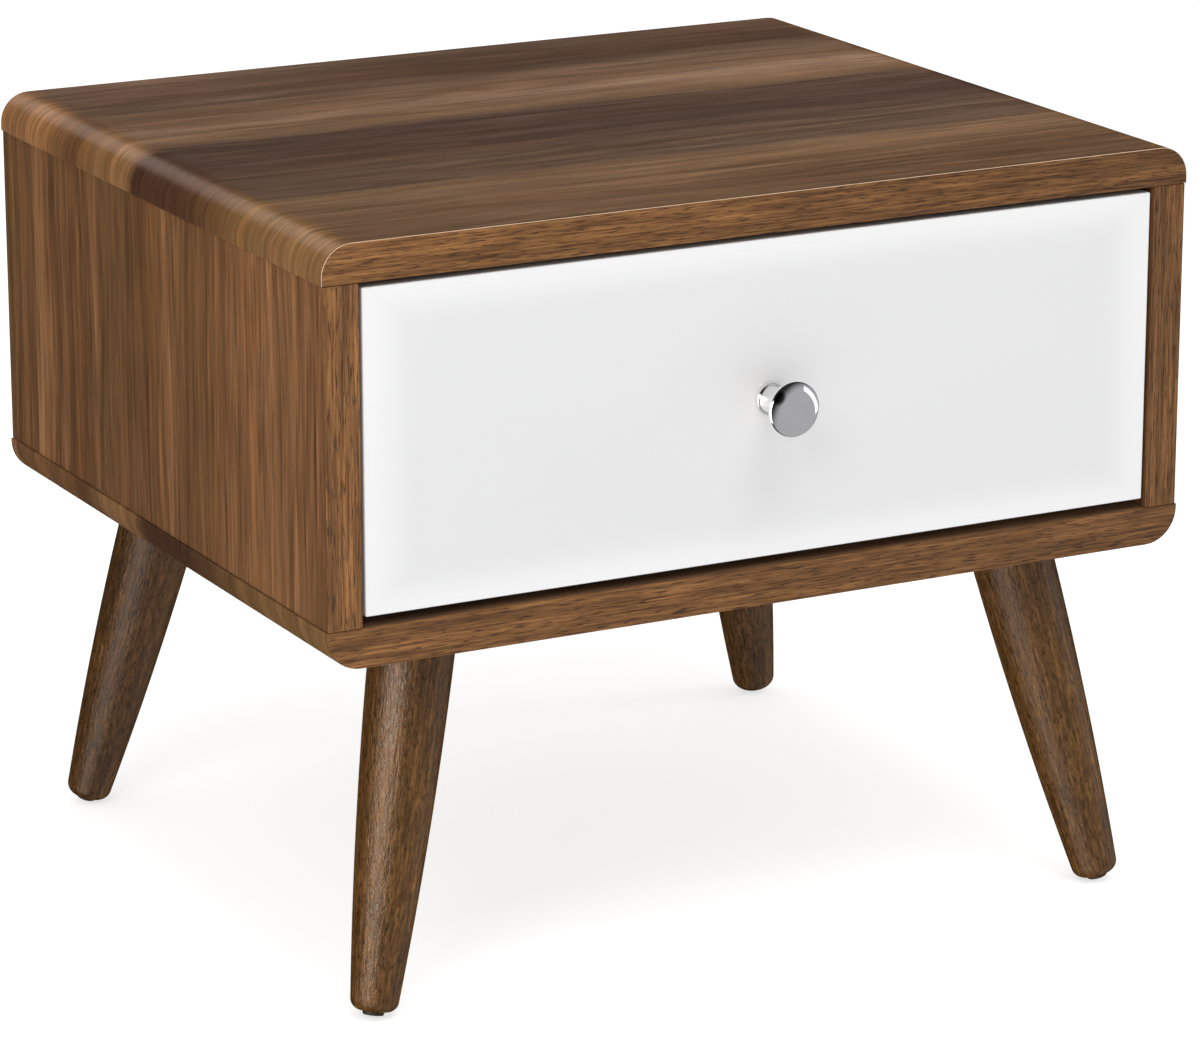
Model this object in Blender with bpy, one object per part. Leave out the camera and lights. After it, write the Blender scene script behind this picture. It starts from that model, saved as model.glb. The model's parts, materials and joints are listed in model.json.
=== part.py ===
"""Side table with one drawer: a carcase with rounded ends on four splayed turned legs.

Metres, +Z up. The front faces -Y and the origin is on the floor, under the middle of the
bounding box. The drawer slides out along -Y on a pair of roller runners.
"""

import math

import bmesh
import bpy
from mathutils import Matrix, Vector

# Carcase
WIDTH = 0.480
DEPTH = 0.400
BOARD = 0.0195  # thickness of the top and bottom boards
SIDE = 0.018
SIDE_HEIGHT = 0.168
OVERHANG = 0.001  # of the boards past the side panels
BAND = 0.0012  # front edge bands
TOP_ROUND = 0.0155
BOTTOM_ROUND = 0.018
LEG_ROOM = 0.185  # from the floor to the underside
GAP = 0.0003  # between pieces that touch

# Back panel, in a groove round the inside of the carcase
BACK_PANEL = 0.003
BACK_INSET = 0.010
GROOVE_DEPTH = 0.005
GROOVE_PLAY = 0.0004

# Legs, with their wedge blocks, bolts and glides
LEG_X = 0.1695  # where the axis meets the underside, from the middle of the carcase
LEG_Y = 0.149
SPLAY_X = 0.22  # sideways travel per unit of height
SPLAY_Y = 0.18
LEG_RADIUS = 0.0212
LEG_TAPER = 0.131  # share of the radius lost, growing with the length
LEG_BOW = 0.327  # share lost, growing with the square of the length
FOOT_ROUND = 0.0058
BLOCK_RADIUS = 0.0235
BLOCK_THINNEST = 0.0035
BLOCK_EDGE = 0.002
BOLT_RADIUS = 0.004
BOLT_IN_LEG = 0.045
BOLT_IN_BOARD = 0.014
GLIDE_RADIUS = 0.0053
GLIDE_THICKNESS = 0.0016
GLIDE_WEAR = 0.0003  # flattened where it meets the floor

# Drawer
RECESS = 0.0008  # of the drawer front, behind the edge bands
FRONT_THICKNESS = 0.016
FRONT_SIDE_GAP = 0.002
FRONT_TOP_GAP = 0.0028
FRONT_BOTTOM_GAP = 0.0052
BOX_SIDE = 0.012
BOX_LENGTH = 0.345
BOX_HEIGHT = 0.112
BOX_BASE = 0.0075  # underside of the drawer box above the bottom board
DRAWER_BOTTOM = 0.003
DRAWER_GROOVE_HEIGHT = 0.010
KNOB_REACH = 0.028
KNOB_SCREW_RADIUS = 0.002

# Roller runners
RUNNER_ROOM = 0.0127  # each side, between the drawer box and the carcase
SHEET = 0.0012
RUNNER_LENGTH = 0.345
RUNNER_BASE = 0.003
FLANGE = 0.0075
LIP = 0.0045
ROLLER_RADIUS = 0.0085
ROLLER_WIDTH = 0.0055
ROLLER_BORE = 0.0026
ROLLER_PLAY = 0.0002
PIN_RADIUS = 0.0025
FLANGE_HEIGHT = 0.0229  # underside of the drawer runner's flange above the bottom board
LIP_HEIGHT = 0.0256
TRAVEL = 0.255

# Places that follow from the sizes
KNOB_PROUD = KNOB_REACH - RECESS
FRONT_Y = -(DEPTH - KNOB_PROUD) / 2
BACK_Y = FRONT_Y + DEPTH
MIDDLE_Y = (FRONT_Y + BACK_Y) / 2
DECK_Z = LEG_ROOM + BOARD  # top of the bottom board
CEILING_Z = DECK_Z + SIDE_HEIGHT
TOP_Z = CEILING_Z + BOARD
SIDE_FACE_X = WIDTH / 2 - OVERHANG
INNER_X = SIDE_FACE_X - SIDE
BOX_X = INNER_X - RUNNER_ROOM
FACE_Y = FRONT_Y + RECESS
BOX_Y = FACE_Y + FRONT_THICKNESS + GAP
FACE_WIDTH = 2 * (INNER_X - FRONT_SIDE_GAP)
FACE_LOW_Z = DECK_Z + FRONT_BOTTOM_GAP
FACE_HIGH_Z = CEILING_Z - FRONT_TOP_GAP
KNOB_Z = (FACE_LOW_Z + FACE_HIGH_Z) / 2
BOX_LOW_Z = DECK_Z + BOX_BASE
BACK_PANEL_Y = BACK_Y - BACK_INSET - BACK_PANEL
CABINET_WEB_X = INNER_X - GAP - SHEET  # inner face of the cabinet runner's web
DRAWER_WEB_X = BOX_X + GAP + SHEET  # outer face of the drawer runner's web
RUNNER_Y = BOX_Y + 0.003
REAR_ROLLER_Z = DECK_Z + RUNNER_BASE + SHEET + ROLLER_RADIUS + ROLLER_PLAY
FRONT_ROLLER_Z = DECK_Z + FLANGE_HEIGHT - ROLLER_RADIUS - ROLLER_PLAY
FRONT_ROLLER_Y = RUNNER_Y + 0.011
REAR_ROLLER_Y = RUNNER_Y + RUNNER_LENGTH - 0.011
FRONT_ROLLER_X = CABINET_WEB_X - 0.001 - ROLLER_WIDTH / 2
REAR_ROLLER_X = DRAWER_WEB_X + 0.001 + ROLLER_WIDTH / 2
SIDES = {"left": -1, "right": 1}
ENDS = {"front": -1, "back": 1}


def clear_scene():
    for obj in list(bpy.data.objects):
        bpy.data.objects.remove(obj, do_unlink=True)


def make_material(name, colour, roughness, metallic=0.0):
    material = bpy.data.materials.new(name)
    material.use_nodes = True
    shader = material.node_tree.nodes["Principled BSDF"]
    shader.inputs["Base Color"].default_value = (*colour, 1.0)
    shader.inputs["Roughness"].default_value = roughness
    shader.inputs["Metallic"].default_value = metallic
    return material


def make_materials():
    return {
        "walnut": make_material("walnut_laminate", (0.115, 0.055, 0.025), 0.45),
        "band": make_material("walnut_edge_band", (0.20, 0.10, 0.045), 0.5),
        "stained": make_material("stained_wood", (0.115, 0.058, 0.028), 0.4),
        "lacquer": make_material("white_lacquer", (0.83, 0.83, 0.83), 0.15),
        "melamine": make_material("white_melamine", (0.72, 0.71, 0.68), 0.4),
        "hardboard": make_material("brown_hardboard", (0.16, 0.085, 0.04), 0.6),
        "chrome": make_material("chrome", (0.80, 0.80, 0.82), 0.06, 1.0),
        "zinc": make_material("zinc_plated_steel", (0.55, 0.56, 0.58), 0.32, 1.0),
        "runner": make_material("grey_coated_steel", (0.62, 0.62, 0.62), 0.35, 0.6),
        "nylon": make_material("white_nylon", (0.78, 0.78, 0.75), 0.4),
        "glide": make_material("dark_plastic", (0.02, 0.018, 0.016), 0.5),
    }


def add_object(name, shape, material, place=(0, 0, 0), parent=None, smooth=False):
    """Makes an object of the bmesh shape, which it frees."""
    bmesh.ops.recalc_face_normals(shape, faces=shape.faces)
    mesh = bpy.data.meshes.new(name)
    shape.to_mesh(mesh)
    shape.free()
    if material:
        mesh.materials.append(material)
    if smooth:
        mesh.shade_smooth()
        mesh.set_sharp_from_angle(angle=math.radians(35))
    obj = bpy.data.objects.new(name, mesh)
    obj.location = place
    obj.parent = parent
    bpy.context.scene.collection.objects.link(obj)
    return obj


def add_empty(name, place, rotation=None, parent=None):
    empty = bpy.data.objects.new(name, None)
    empty.location = place
    empty.empty_display_size = 0.02
    empty.parent = parent
    if rotation:
        empty.rotation_mode = "QUATERNION"
        empty.rotation_quaternion = rotation
    bpy.context.scene.collection.objects.link(empty)
    return empty


def cut(target, cutter):
    """Takes the cutter's shape out of the target."""
    cutter.hide_render = True
    cutter.display_type = "WIRE"
    modifier = target.modifiers.new("cut_" + cutter.name, "BOOLEAN")
    modifier.operation = "DIFFERENCE"
    modifier.object = cutter


def box(low, high, shape=None):
    """An upright box between two corners, added to the shape if one is given."""
    shape = shape or bmesh.new()
    size = Vector(high) - Vector(low)
    middle = (Vector(high) + Vector(low)) / 2
    matrix = Matrix.Translation(middle) @ Matrix.Diagonal((*size, 1))
    bmesh.ops.create_cube(shape, size=1, matrix=matrix)
    return shape


def prism(outline, start, end, shape=None):
    """An outline in X and Z, extruded along Y from start to end."""
    shape = shape or bmesh.new()
    face = shape.faces.new([shape.verts.new((x, start, z)) for x, z in outline])
    grown = bmesh.ops.extrude_face_region(shape, geom=[face])["geom"]
    corners = [item for item in grown if isinstance(item, bmesh.types.BMVert)]
    bmesh.ops.translate(shape, vec=(0, end - start, 0), verts=corners)
    return shape


def turned(profile, segments=32, closed=False):
    """A profile of (radius, height) points spun about Z. A closed one leaves a bore."""
    shape = bmesh.new()
    points = [shape.verts.new((radius, 0, height)) for radius, height in profile]
    pairs = list(zip(points, points[1:]))
    if closed:
        pairs.append((points[-1], points[0]))
    edges = [shape.edges.new(pair) for pair in pairs]
    bmesh.ops.spin(
        shape,
        geom=points + edges,
        cent=(0, 0, 0),
        axis=(0, 0, 1),
        angle=math.tau,
        steps=segments,
        use_merge=True,
    )
    bmesh.ops.remove_doubles(shape, verts=shape.verts, dist=1e-6)
    return shape


def cylinder(radius, start, end, place=(0, 0, 0), direction=(0, 0, 1), segments=24, shape=None):
    """A cylinder along a direction, from start to end past its place."""
    shape = shape or bmesh.new()
    turn = Vector((0, 0, 1)).rotation_difference(Vector(direction)).to_matrix().to_4x4()
    matrix = Matrix.Translation(place) @ turn @ Matrix.Translation((0, 0, (start + end) / 2))
    bmesh.ops.create_cone(
        shape,
        cap_ends=True,
        segments=segments,
        radius1=radius,
        radius2=radius,
        depth=end - start,
        matrix=matrix,
    )
    return shape


def trim(shape, point, normal):
    """Cuts off what lies past a plane and closes the cut. Returns the edges round it."""
    everything = shape.verts[:] + shape.edges[:] + shape.faces[:]
    made = bmesh.ops.bisect_plane(
        shape, geom=everything, plane_co=point, plane_no=normal, clear_outer=True
    )["geom_cut"]
    rim = [item for item in made if isinstance(item, bmesh.types.BMEdge)]
    bmesh.ops.contextual_create(shape, geom=rim)
    return rim


def arc(centre, radius, start, end, steps):
    """Points of an arc in a plane, angles in degrees."""
    points = []
    for step in range(steps + 1):
        angle = math.radians(start + (end - start) * step / steps)
        points.append((centre[0] + radius * math.cos(angle), centre[1] + radius * math.sin(angle)))
    return points


def rounded_board(radius, height):
    """Outline of a board whose two lower corners are rounded, with its top at zero."""
    half = WIDTH / 2
    steps = 10
    left = arc((radius - half, radius - height), radius, 180, 270, steps)
    right = arc((half - radius, radius - height), radius, -90, 0, steps)
    return [(half, 0), (-half, 0)] + left + right


def build_boards(materials):
    """The top and bottom boards with their front bands, grooved for the back panel."""
    low = rounded_board(BOTTOM_ROUND, BOARD)
    high = [(x, -z) for x, z in rounded_board(TOP_ROUND, BOARD)]
    body_y = FRONT_Y + BAND + GAP
    groove = box(
        (-INNER_X - GROOVE_DEPTH, BACK_PANEL_Y - GROOVE_PLAY, DECK_Z - GROOVE_DEPTH),
        (INNER_X + GROOVE_DEPTH, BACK_PANEL_Y + BACK_PANEL + GROOVE_PLAY, CEILING_Z + GROOVE_DEPTH),
    )
    cutter = add_object("cutter_back_groove", groove, None)
    boards = {}
    for name, outline, height in (("top", high, CEILING_Z), ("bottom", low, DECK_Z)):
        place = (0, 0, height)
        boards[name] = add_object(
            name + "_panel", prism(outline, body_y, BACK_Y), materials["walnut"], place, smooth=True
        )
        cut(boards[name], cutter)
        add_object(
            name + "_edge_band",
            prism(outline, FRONT_Y, FRONT_Y + BAND),
            materials["band"],
            place,
            smooth=True,
        )
    return boards


def side_cam_places(side):
    """The cam locks that hold a side panel to the boards: name, y and z of each."""
    from_edge = 0.034
    for end, sign in ENDS.items():
        y = MIDDLE_Y + sign * 0.135
        yield f"{side}_{end}_bottom", y, DECK_Z + from_edge
        yield f"{side}_{end}_top", y, CEILING_Z - from_edge


def cam_lock():
    """A cam disc along +Z with a chamfered rim, its face at zero and its body below."""
    radius, depth, chamfer = 0.0075, 0.0095, 0.0006
    return turned([(0, -depth), (radius, -depth), (radius, -chamfer), (radius - chamfer, 0), (0, 0)], 20)


def face_along_x(obj, sign):
    """Turns an object made along +Z so that its face looks along X, by the sign."""
    obj.rotation_euler = (0, sign * math.pi / 2, 0)


def build_sides(materials):
    """The side panels, their bands and their cam locks."""
    cam_hole = 0.0078
    cam_depth = 0.0100
    panels = {}
    for side, sign in SIDES.items():
        panel = box(
            (-SIDE / 2, FRONT_Y + BAND + GAP, DECK_Z + GAP), (SIDE / 2, BACK_Y, CEILING_Z - GAP)
        )
        middle_x = sign * (INNER_X + SIDE / 2)
        panels[side] = add_object(
            side + "_side_panel", panel, materials["walnut"], (middle_x, 0, 0)
        )
        band = box(
            (-SIDE / 2, FRONT_Y, DECK_Z + GAP), (SIDE / 2, FRONT_Y + BAND, CEILING_Z - GAP)
        )
        add_object(side + "_edge_band", band, materials["band"], (middle_x, 0, 0))
        holes = box(
            (INNER_X * sign - GROOVE_DEPTH, BACK_PANEL_Y - GROOVE_PLAY, DECK_Z - BOARD / 2),
            (
                INNER_X * sign + GROOVE_DEPTH,
                BACK_PANEL_Y + BACK_PANEL + GROOVE_PLAY,
                CEILING_Z + BOARD / 2,
            ),
        )
        for name, y, z in side_cam_places(side):
            place = (sign * INNER_X, y, z)
            cylinder(cam_hole, -cam_depth, cam_depth, place, (1, 0, 0), 20, holes)
            cam = add_object("cam_" + name, cam_lock(), materials["zinc"], place, smooth=True)
            face_along_x(cam, -sign)
        cut(panels[side], add_object(f"cutter_{side}_side", holes, None))
    return panels


def build_back_panel(materials):
    reach = GROOVE_DEPTH - GAP
    panel = box(
        (-INNER_X - reach, BACK_PANEL_Y, DECK_Z - reach),
        (INNER_X + reach, BACK_PANEL_Y + BACK_PANEL, CEILING_Z + reach),
    )
    add_object("back_panel", panel, materials["hardboard"])


def leg_radius(share):
    """Radius of the bowed taper at a share of the leg's length."""
    return LEG_RADIUS * (1 - LEG_TAPER * share - LEG_BOW * share**2)


def leg_shape(top, end):
    """A turned leg down the local Z axis, bored at the top for its bolt."""
    bore = BOLT_RADIUS + GAP
    chamfer = 0.0008
    length = top - end
    profile = [(0, top - BOLT_IN_LEG), (bore, top - BOLT_IN_LEG), (bore, top)]
    profile += [(LEG_RADIUS - chamfer, top), (leg_radius(0), top - chamfer)]
    steps = 8
    last = 1 - FOOT_ROUND / length
    for step in range(1, steps + 1):
        share = last * step / steps
        profile.append((leg_radius(share), top - share * length))
    foot_radius = leg_radius(last)
    profile += arc((foot_radius - FOOT_ROUND, end + FOOT_ROUND), FOOT_ROUND, 0, -90, 5)[1:]
    profile.append((0, end))
    return turned(profile, 24)


def block_shape(lean, direction):
    """The wedge between a leg and the underside, round, its low face square to the leg."""
    deepest = 0.03
    shape = cylinder(BLOCK_RADIUS, -deepest, -GAP, segments=32)
    middle = -(BLOCK_THINNEST + BLOCK_RADIUS * math.tan(lean))
    rim = trim(shape, Vector((0, 0, middle)), direction)
    bmesh.ops.bevel(
        shape, geom=rim, offset=BLOCK_EDGE, segments=2, profile=0.5, affect="EDGES"
    )
    return shape


def glide_shape(rotation, mount_height, top):
    """A nailed-on glide under the foot, worn level where it meets the floor."""
    edge = 0.0004
    low = top - GLIDE_THICKNESS
    profile = [(0, low), (GLIDE_RADIUS - edge, low), (GLIDE_RADIUS, low + edge)]
    profile += [(GLIDE_RADIUS, top), (0, top)]
    shape = turned(profile, 24)
    back = rotation.inverted()
    trim(shape, back @ Vector((0, 0, -mount_height)), back @ Vector((0, 0, -1)))
    return shape


def build_leg(name, sign_x, sign_y, bottom_board, materials):
    """One leg with its wedge block, hanger bolt and glide, about the leg's own axis."""
    direction = Vector((sign_x * SPLAY_X, sign_y * SPLAY_Y, -1))
    stretch = direction.length
    direction.normalize()
    lean = math.acos(-direction.z)
    rotation = Vector((0, 0, -1)).rotation_difference(direction)
    place = Vector((sign_x * LEG_X, MIDDLE_Y + sign_y * LEG_Y, LEG_ROOM))
    axis = add_empty("axis_" + name, place, rotation)

    seat = (BLOCK_THINNEST + BLOCK_RADIUS * math.tan(lean)) * stretch
    top = -seat - GAP
    sole = (GAP + GLIDE_THICKNESS) * math.cos(lean) + GLIDE_RADIUS * math.sin(lean) - GLIDE_WEAR
    end = -(LEG_ROOM - sole) * stretch
    add_object(name, leg_shape(top, end), materials["stained"], parent=axis, smooth=True)

    chamfer = 0.0006
    low = top - BOLT_IN_LEG + GAP
    bolt = turned(
        [
            (0, low),
            (BOLT_RADIUS - chamfer, low),
            (BOLT_RADIUS, low + chamfer),
            (BOLT_RADIUS, BOLT_IN_BOARD - chamfer),
            (BOLT_RADIUS - chamfer, BOLT_IN_BOARD),
            (0, BOLT_IN_BOARD),
        ],
        16,
    )
    bolt_name = name.replace("leg", "hanger_bolt")
    add_object(bolt_name, bolt, materials["zinc"], parent=axis, smooth=True)
    glide = glide_shape(rotation, LEG_ROOM, end - GAP)
    add_object(name.replace("leg", "glide"), glide, materials["glide"], parent=axis, smooth=True)

    block = add_object(
        name.replace("leg", "leg_block"),
        block_shape(lean, direction),
        materials["stained"],
        place,
        smooth=True,
    )
    hole = cylinder(BOLT_RADIUS + GAP, -0.04, BOLT_IN_BOARD + GAP, segments=16)
    cutter = add_object("cutter_" + name, hole, None, parent=axis)
    cut(block, cutter)
    cut(bottom_board, cutter)


def runner_outline(points, sign):
    """A runner's outline given for the right side, mirrored for the left."""
    return [(sign * x, z) for x, z in points]


def cabinet_runner_outline():
    """Channel fixed to the carcase: web, flange that the rear roller runs on, and lip."""
    low = RUNNER_BASE
    high = LIP_HEIGHT + SHEET
    outer = CABINET_WEB_X + SHEET
    inner = CABINET_WEB_X
    return [
        (outer, low),
        (outer, high),
        (inner - LIP, high),
        (inner - LIP, high - SHEET),
        (inner, high - SHEET),
        (inner, low + SHEET),
        (inner - FLANGE, low + SHEET),
        (inner - FLANGE, low),
    ]


def drawer_runner_outline():
    """Rail under the drawer side: foot below the side, web, and flange on the front roller."""
    foot = 0.010
    low = BOX_BASE - GAP - SHEET
    high = FLANGE_HEIGHT + SHEET
    inner = DRAWER_WEB_X - SHEET
    outer = DRAWER_WEB_X
    return [
        (BOX_X - foot, low),
        (outer, low),
        (outer, FLANGE_HEIGHT),
        (outer + FLANGE, FLANGE_HEIGHT),
        (outer + FLANGE, high),
        (inner, high),
        (inner, low + SHEET),
        (BOX_X - foot, low + SHEET),
    ]


def build_cabinet_runners(panels, materials):
    """The fixed runners, screwed to the side panels, each with its stop and front pin."""
    screw_hole = 0.0020
    screw_height = 0.0135
    screw_length = 0.014
    screw_head = 0.0014  # low enough for the rear roller's pin to pass
    stop_y = REAR_ROLLER_Y - TRAVEL - ROLLER_RADIUS
    for side, sign in SIDES.items():
        outline = runner_outline(cabinet_runner_outline(), sign)
        shape = prism(outline, RUNNER_Y, RUNNER_Y + RUNNER_LENGTH)
        runner = add_object(
            f"cabinet_runner_{side}", shape, materials["runner"], (0, 0, DECK_Z)
        )
        stop = box(
            (CABINET_WEB_X - 0.006, stop_y - 0.004, DECK_Z + RUNNER_BASE + SHEET / 2),
            (CABINET_WEB_X - 0.001, stop_y - 0.001, DECK_Z + RUNNER_BASE + SHEET + 0.0035),
        )
        if sign < 0:
            bmesh.ops.scale(stop, vec=(-1, 1, 1), verts=stop.verts)
        tab = add_object(f"shape_{side}_stop", stop, None)
        join(runner, tab)
        holes = bmesh.new()
        for end, y in (("front", RUNNER_Y + 0.045), ("back", RUNNER_Y + 0.290)):
            place = (sign * CABINET_WEB_X, y, DECK_Z + screw_height)
            out = (sign, 0, 0)
            cylinder(screw_hole, -0.002, screw_length + GAP, place, out, 16, holes)
            screw = turned(screw_profile(0.0017, screw_length, 0.0035, screw_head), 16)
            screw_object = add_object(
                f"runner_screw_{side}_{end}", screw, materials["zinc"], place, smooth=True
            )
            face_along_x(screw_object, -sign)
        cutter = add_object(f"cutter_{side}_screws", holes, None)
        cut(runner, cutter)
        cut(panels[side], cutter)
        place = (sign * CABINET_WEB_X, FRONT_ROLLER_Y, FRONT_ROLLER_Z)
        pin = add_object(f"front_roller_pin_{side}", roller_pin(), materials["zinc"], place, smooth=True)
        face_along_x(pin, -sign)


def join(target, added):
    """Unites a helper's shape with the target."""
    added.hide_render = True
    added.display_type = "WIRE"
    modifier = target.modifiers.new("join_" + added.name, "BOOLEAN")
    modifier.operation = "UNION"
    modifier.object = added


def screw_profile(radius, length, head_radius, head_height):
    """A screw along Z: pan head above zero by the gap, shank below."""
    tip = 0.002
    chamfer = 0.0005
    return [
        (0, -length),
        (radius, -length + tip),
        (radius, GAP),
        (head_radius, GAP),
        (head_radius, GAP + head_height - chamfer),
        (head_radius - chamfer, GAP + head_height),
        (0, GAP + head_height),
    ]


def roller_pin():
    """A headed pin along Z that stands on a web at zero and holds a roller."""
    clear = 0.001 + ROLLER_WIDTH + GAP
    head = 0.0008
    head_radius = PIN_RADIUS + 0.0012
    chamfer = 0.0003
    return turned(
        [
            (0, GAP),
            (PIN_RADIUS, GAP),
            (PIN_RADIUS, clear),
            (head_radius, clear),
            (head_radius, clear + head - chamfer),
            (head_radius - chamfer, clear + head),
            (0, clear + head),
        ],
        20,
    )


def roller_shape():
    """A roller about Z with a bore and eased rims."""
    half = ROLLER_WIDTH / 2
    ease = 0.0005
    return turned(
        [
            (ROLLER_BORE, -half),
            (ROLLER_RADIUS - ease, -half),
            (ROLLER_RADIUS, ease - half),
            (ROLLER_RADIUS, half - ease),
            (ROLLER_RADIUS - ease, half),
            (ROLLER_BORE, half),
        ],
        32,
        closed=True,
    )


def build_rollers(drawer, materials):
    """The front rollers turn on the carcase, and the rear ones travel with the drawer."""
    for side, sign in SIDES.items():
        front = (sign * FRONT_ROLLER_X, FRONT_ROLLER_Y, FRONT_ROLLER_Z)
        obj = add_object(f"front_roller_{side}", roller_shape(), materials["nylon"], front, smooth=True)
        face_along_x(obj, sign)
        rear = Vector((sign * REAR_ROLLER_X, REAR_ROLLER_Y, REAR_ROLLER_Z)) - drawer.location
        obj = add_object(
            f"rear_roller_{side}", roller_shape(), materials["nylon"], rear, drawer, smooth=True
        )
        face_along_x(obj, sign)


def knob_profile():
    """Foot ring, waisted neck and broad domed head, spun about the axis away from the drawer."""
    head_radius = 0.014
    head_low = 0.0215
    rim = 0.0016
    foot_radius = 0.008
    foot = 0.002
    foot_ease = 0.0005
    neck = 0.0070
    waist = 0.0018
    flare = 0.0042
    bore = KNOB_SCREW_RADIUS + GAP
    bore_depth = 0.013
    profile = [(0, bore_depth), (bore, bore_depth), (bore, GAP), (foot_radius, GAP)]
    profile += [(foot_radius, foot - foot_ease), (foot_radius - foot_ease, foot)]
    neck_end = foot + (head_low - foot) * 0.93
    steps = 6
    for step in range(steps + 1):
        share = step / steps
        radius = neck - waist * math.sin(math.pi * share**0.8) + flare * share**3
        profile.append((radius, foot + (neck_end - foot) * share))
    profile += arc((head_radius - rim, head_low + rim), rim, -90, 60, 4)
    edge_radius, edge_height = profile[-1]
    crown_steps = 4
    for step in range(1, crown_steps):
        share = step / crown_steps
        rise = (KNOB_REACH - edge_height) * (1 - (1 - share) ** 2)
        profile.append((edge_radius * (1 - share), edge_height + rise))
    profile.append((0, KNOB_REACH))
    return profile


def build_drawer_front(drawer, materials):
    """The lacquered front with its knob and screw. Local origin: the middle of its face."""
    half_x = FACE_WIDTH / 2
    half_z = (FACE_HIGH_Z - FACE_LOW_Z) / 2
    front = box((-half_x, 0, -half_z), (half_x, FRONT_THICKNESS, half_z))
    ease = 0.0008
    bmesh.ops.bevel(
        front, geom=front.edges[:], offset=ease, segments=2, profile=0.5, affect="EDGES"
    )
    board = add_object("drawer_front", front, materials["lacquer"], parent=drawer, smooth=True)
    bore = cylinder(
        KNOB_SCREW_RADIUS + GAP, -0.002, FRONT_THICKNESS + 0.002, direction=(0, 1, 0), segments=20
    )
    groove_low = BOX_LOW_Z + DRAWER_GROOVE_HEIGHT - GAP - KNOB_Z
    box(
        (GROOVE_DEPTH - BOX_X, FRONT_THICKNESS - GROOVE_DEPTH, groove_low),
        (BOX_X - GROOVE_DEPTH, FRONT_THICKNESS + 0.002, groove_low + DRAWER_BOTTOM + 2 * GAP),
        bore,
    )
    cut(board, add_object("cutter_drawer_front", bore, None, parent=drawer))

    knob = add_object("knob", turned(knob_profile(), 32), materials["chrome"], parent=drawer, smooth=True)
    knob.rotation_euler = (math.pi / 2, 0, 0)
    length = FRONT_THICKNESS + 0.012
    screw = turned(screw_profile(KNOB_SCREW_RADIUS, length, 0.0042, 0.0022), 20)
    screw_object = add_object(
        "knob_screw", screw, materials["zinc"], (0, FRONT_THICKNESS, 0), drawer, smooth=True
    )
    screw_object.rotation_euler = (-math.pi / 2, 0, 0)


def drawer_side_outline():
    """Side board of the drawer box for the right side, grooved inside for the bottom."""
    low = BOX_BASE
    high = BOX_BASE + BOX_HEIGHT
    groove = BOX_BASE + DRAWER_GROOVE_HEIGHT - GAP
    inner = BOX_X - BOX_SIDE
    return [
        (inner, low),
        (BOX_X, low),
        (BOX_X, high),
        (inner, high),
        (inner, groove + DRAWER_BOTTOM + 2 * GAP),
        (inner + GROOVE_DEPTH, groove + DRAWER_BOTTOM + 2 * GAP),
        (inner + GROOVE_DEPTH, groove),
        (inner, groove),
    ]


def build_drawer_box(drawer, materials):
    """Sides, back and bottom of the drawer box, with the cam locks that hold the front."""
    start = BOX_Y - FACE_Y
    end = start + BOX_LENGTH
    to_deck = DECK_Z - KNOB_Z
    cam_height = BOX_BASE + BOX_HEIGHT / 2
    cam_y = start + 0.024
    for side, sign in SIDES.items():
        outline = runner_outline(drawer_side_outline(), sign)
        board = add_object(
            f"drawer_{side}_side",
            prism(outline, start, end),
            materials["melamine"],
            (0, 0, to_deck),
            drawer,
        )
        place = (sign * (BOX_X - BOX_SIDE), cam_y, cam_height + to_deck)
        hole = cylinder(0.0078, -0.0100, 0.0100, place, (1, 0, 0), 20)
        cut(board, add_object(f"cutter_drawer_{side}_cam", hole, None, parent=drawer))
        cam = add_object(f"drawer_cam_{side}", cam_lock(), materials["zinc"], place, drawer, smooth=True)
        face_along_x(cam, -sign)
        runner = prism(runner_outline(drawer_runner_outline(), sign), 0, RUNNER_LENGTH)
        runner_y = RUNNER_Y - FACE_Y
        add_object(
            f"drawer_runner_{side}", runner, materials["runner"], (0, runner_y, to_deck), drawer
        )
        pin_place = (
            sign * DRAWER_WEB_X,
            REAR_ROLLER_Y - FACE_Y,
            REAR_ROLLER_Z - KNOB_Z,
        )
        pin = add_object(
            f"rear_roller_pin_{side}", roller_pin(), materials["zinc"], pin_place, drawer, smooth=True
        )
        face_along_x(pin, sign)
    groove = BOX_BASE + DRAWER_GROOVE_HEIGHT
    inner = BOX_X - BOX_SIDE
    reach = inner + GROOVE_DEPTH - GAP
    bottom = box(
        (-reach, start - GROOVE_DEPTH + GAP, groove), (reach, end, groove + DRAWER_BOTTOM)
    )
    narrow = 2 * (BOX_X - GROOVE_DEPTH - GAP) / (2 * reach)
    for vertex in bottom.verts:
        if vertex.co.y < start:
            vertex.co.x *= min(narrow, 1)
    add_object("drawer_bottom", bottom, materials["melamine"], (0, 0, to_deck), drawer)
    back = box(
        (GAP - inner, end - BOX_SIDE, groove + DRAWER_BOTTOM + GAP),
        (inner - GAP, end, BOX_BASE + BOX_HEIGHT),
    )
    add_object("drawer_back", back, materials["melamine"], (0, 0, to_deck), drawer)


def build():
    clear_scene()
    materials = make_materials()
    boards = build_boards(materials)
    panels = build_sides(materials)
    build_back_panel(materials)
    for end, sign_y in ENDS.items():
        for side, sign_x in SIDES.items():
            build_leg(f"leg_{end}_{side}", sign_x, sign_y, boards["bottom"], materials)
    build_cabinet_runners(panels, materials)
    drawer = add_empty("drawer_origin", (0, FACE_Y, KNOB_Z))
    build_drawer_front(drawer, materials)
    build_drawer_box(drawer, materials)
    build_rollers(drawer, materials)


build()
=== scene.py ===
import json
import math

import bmesh
import bpy
from mathutils import Matrix, Vector

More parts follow.
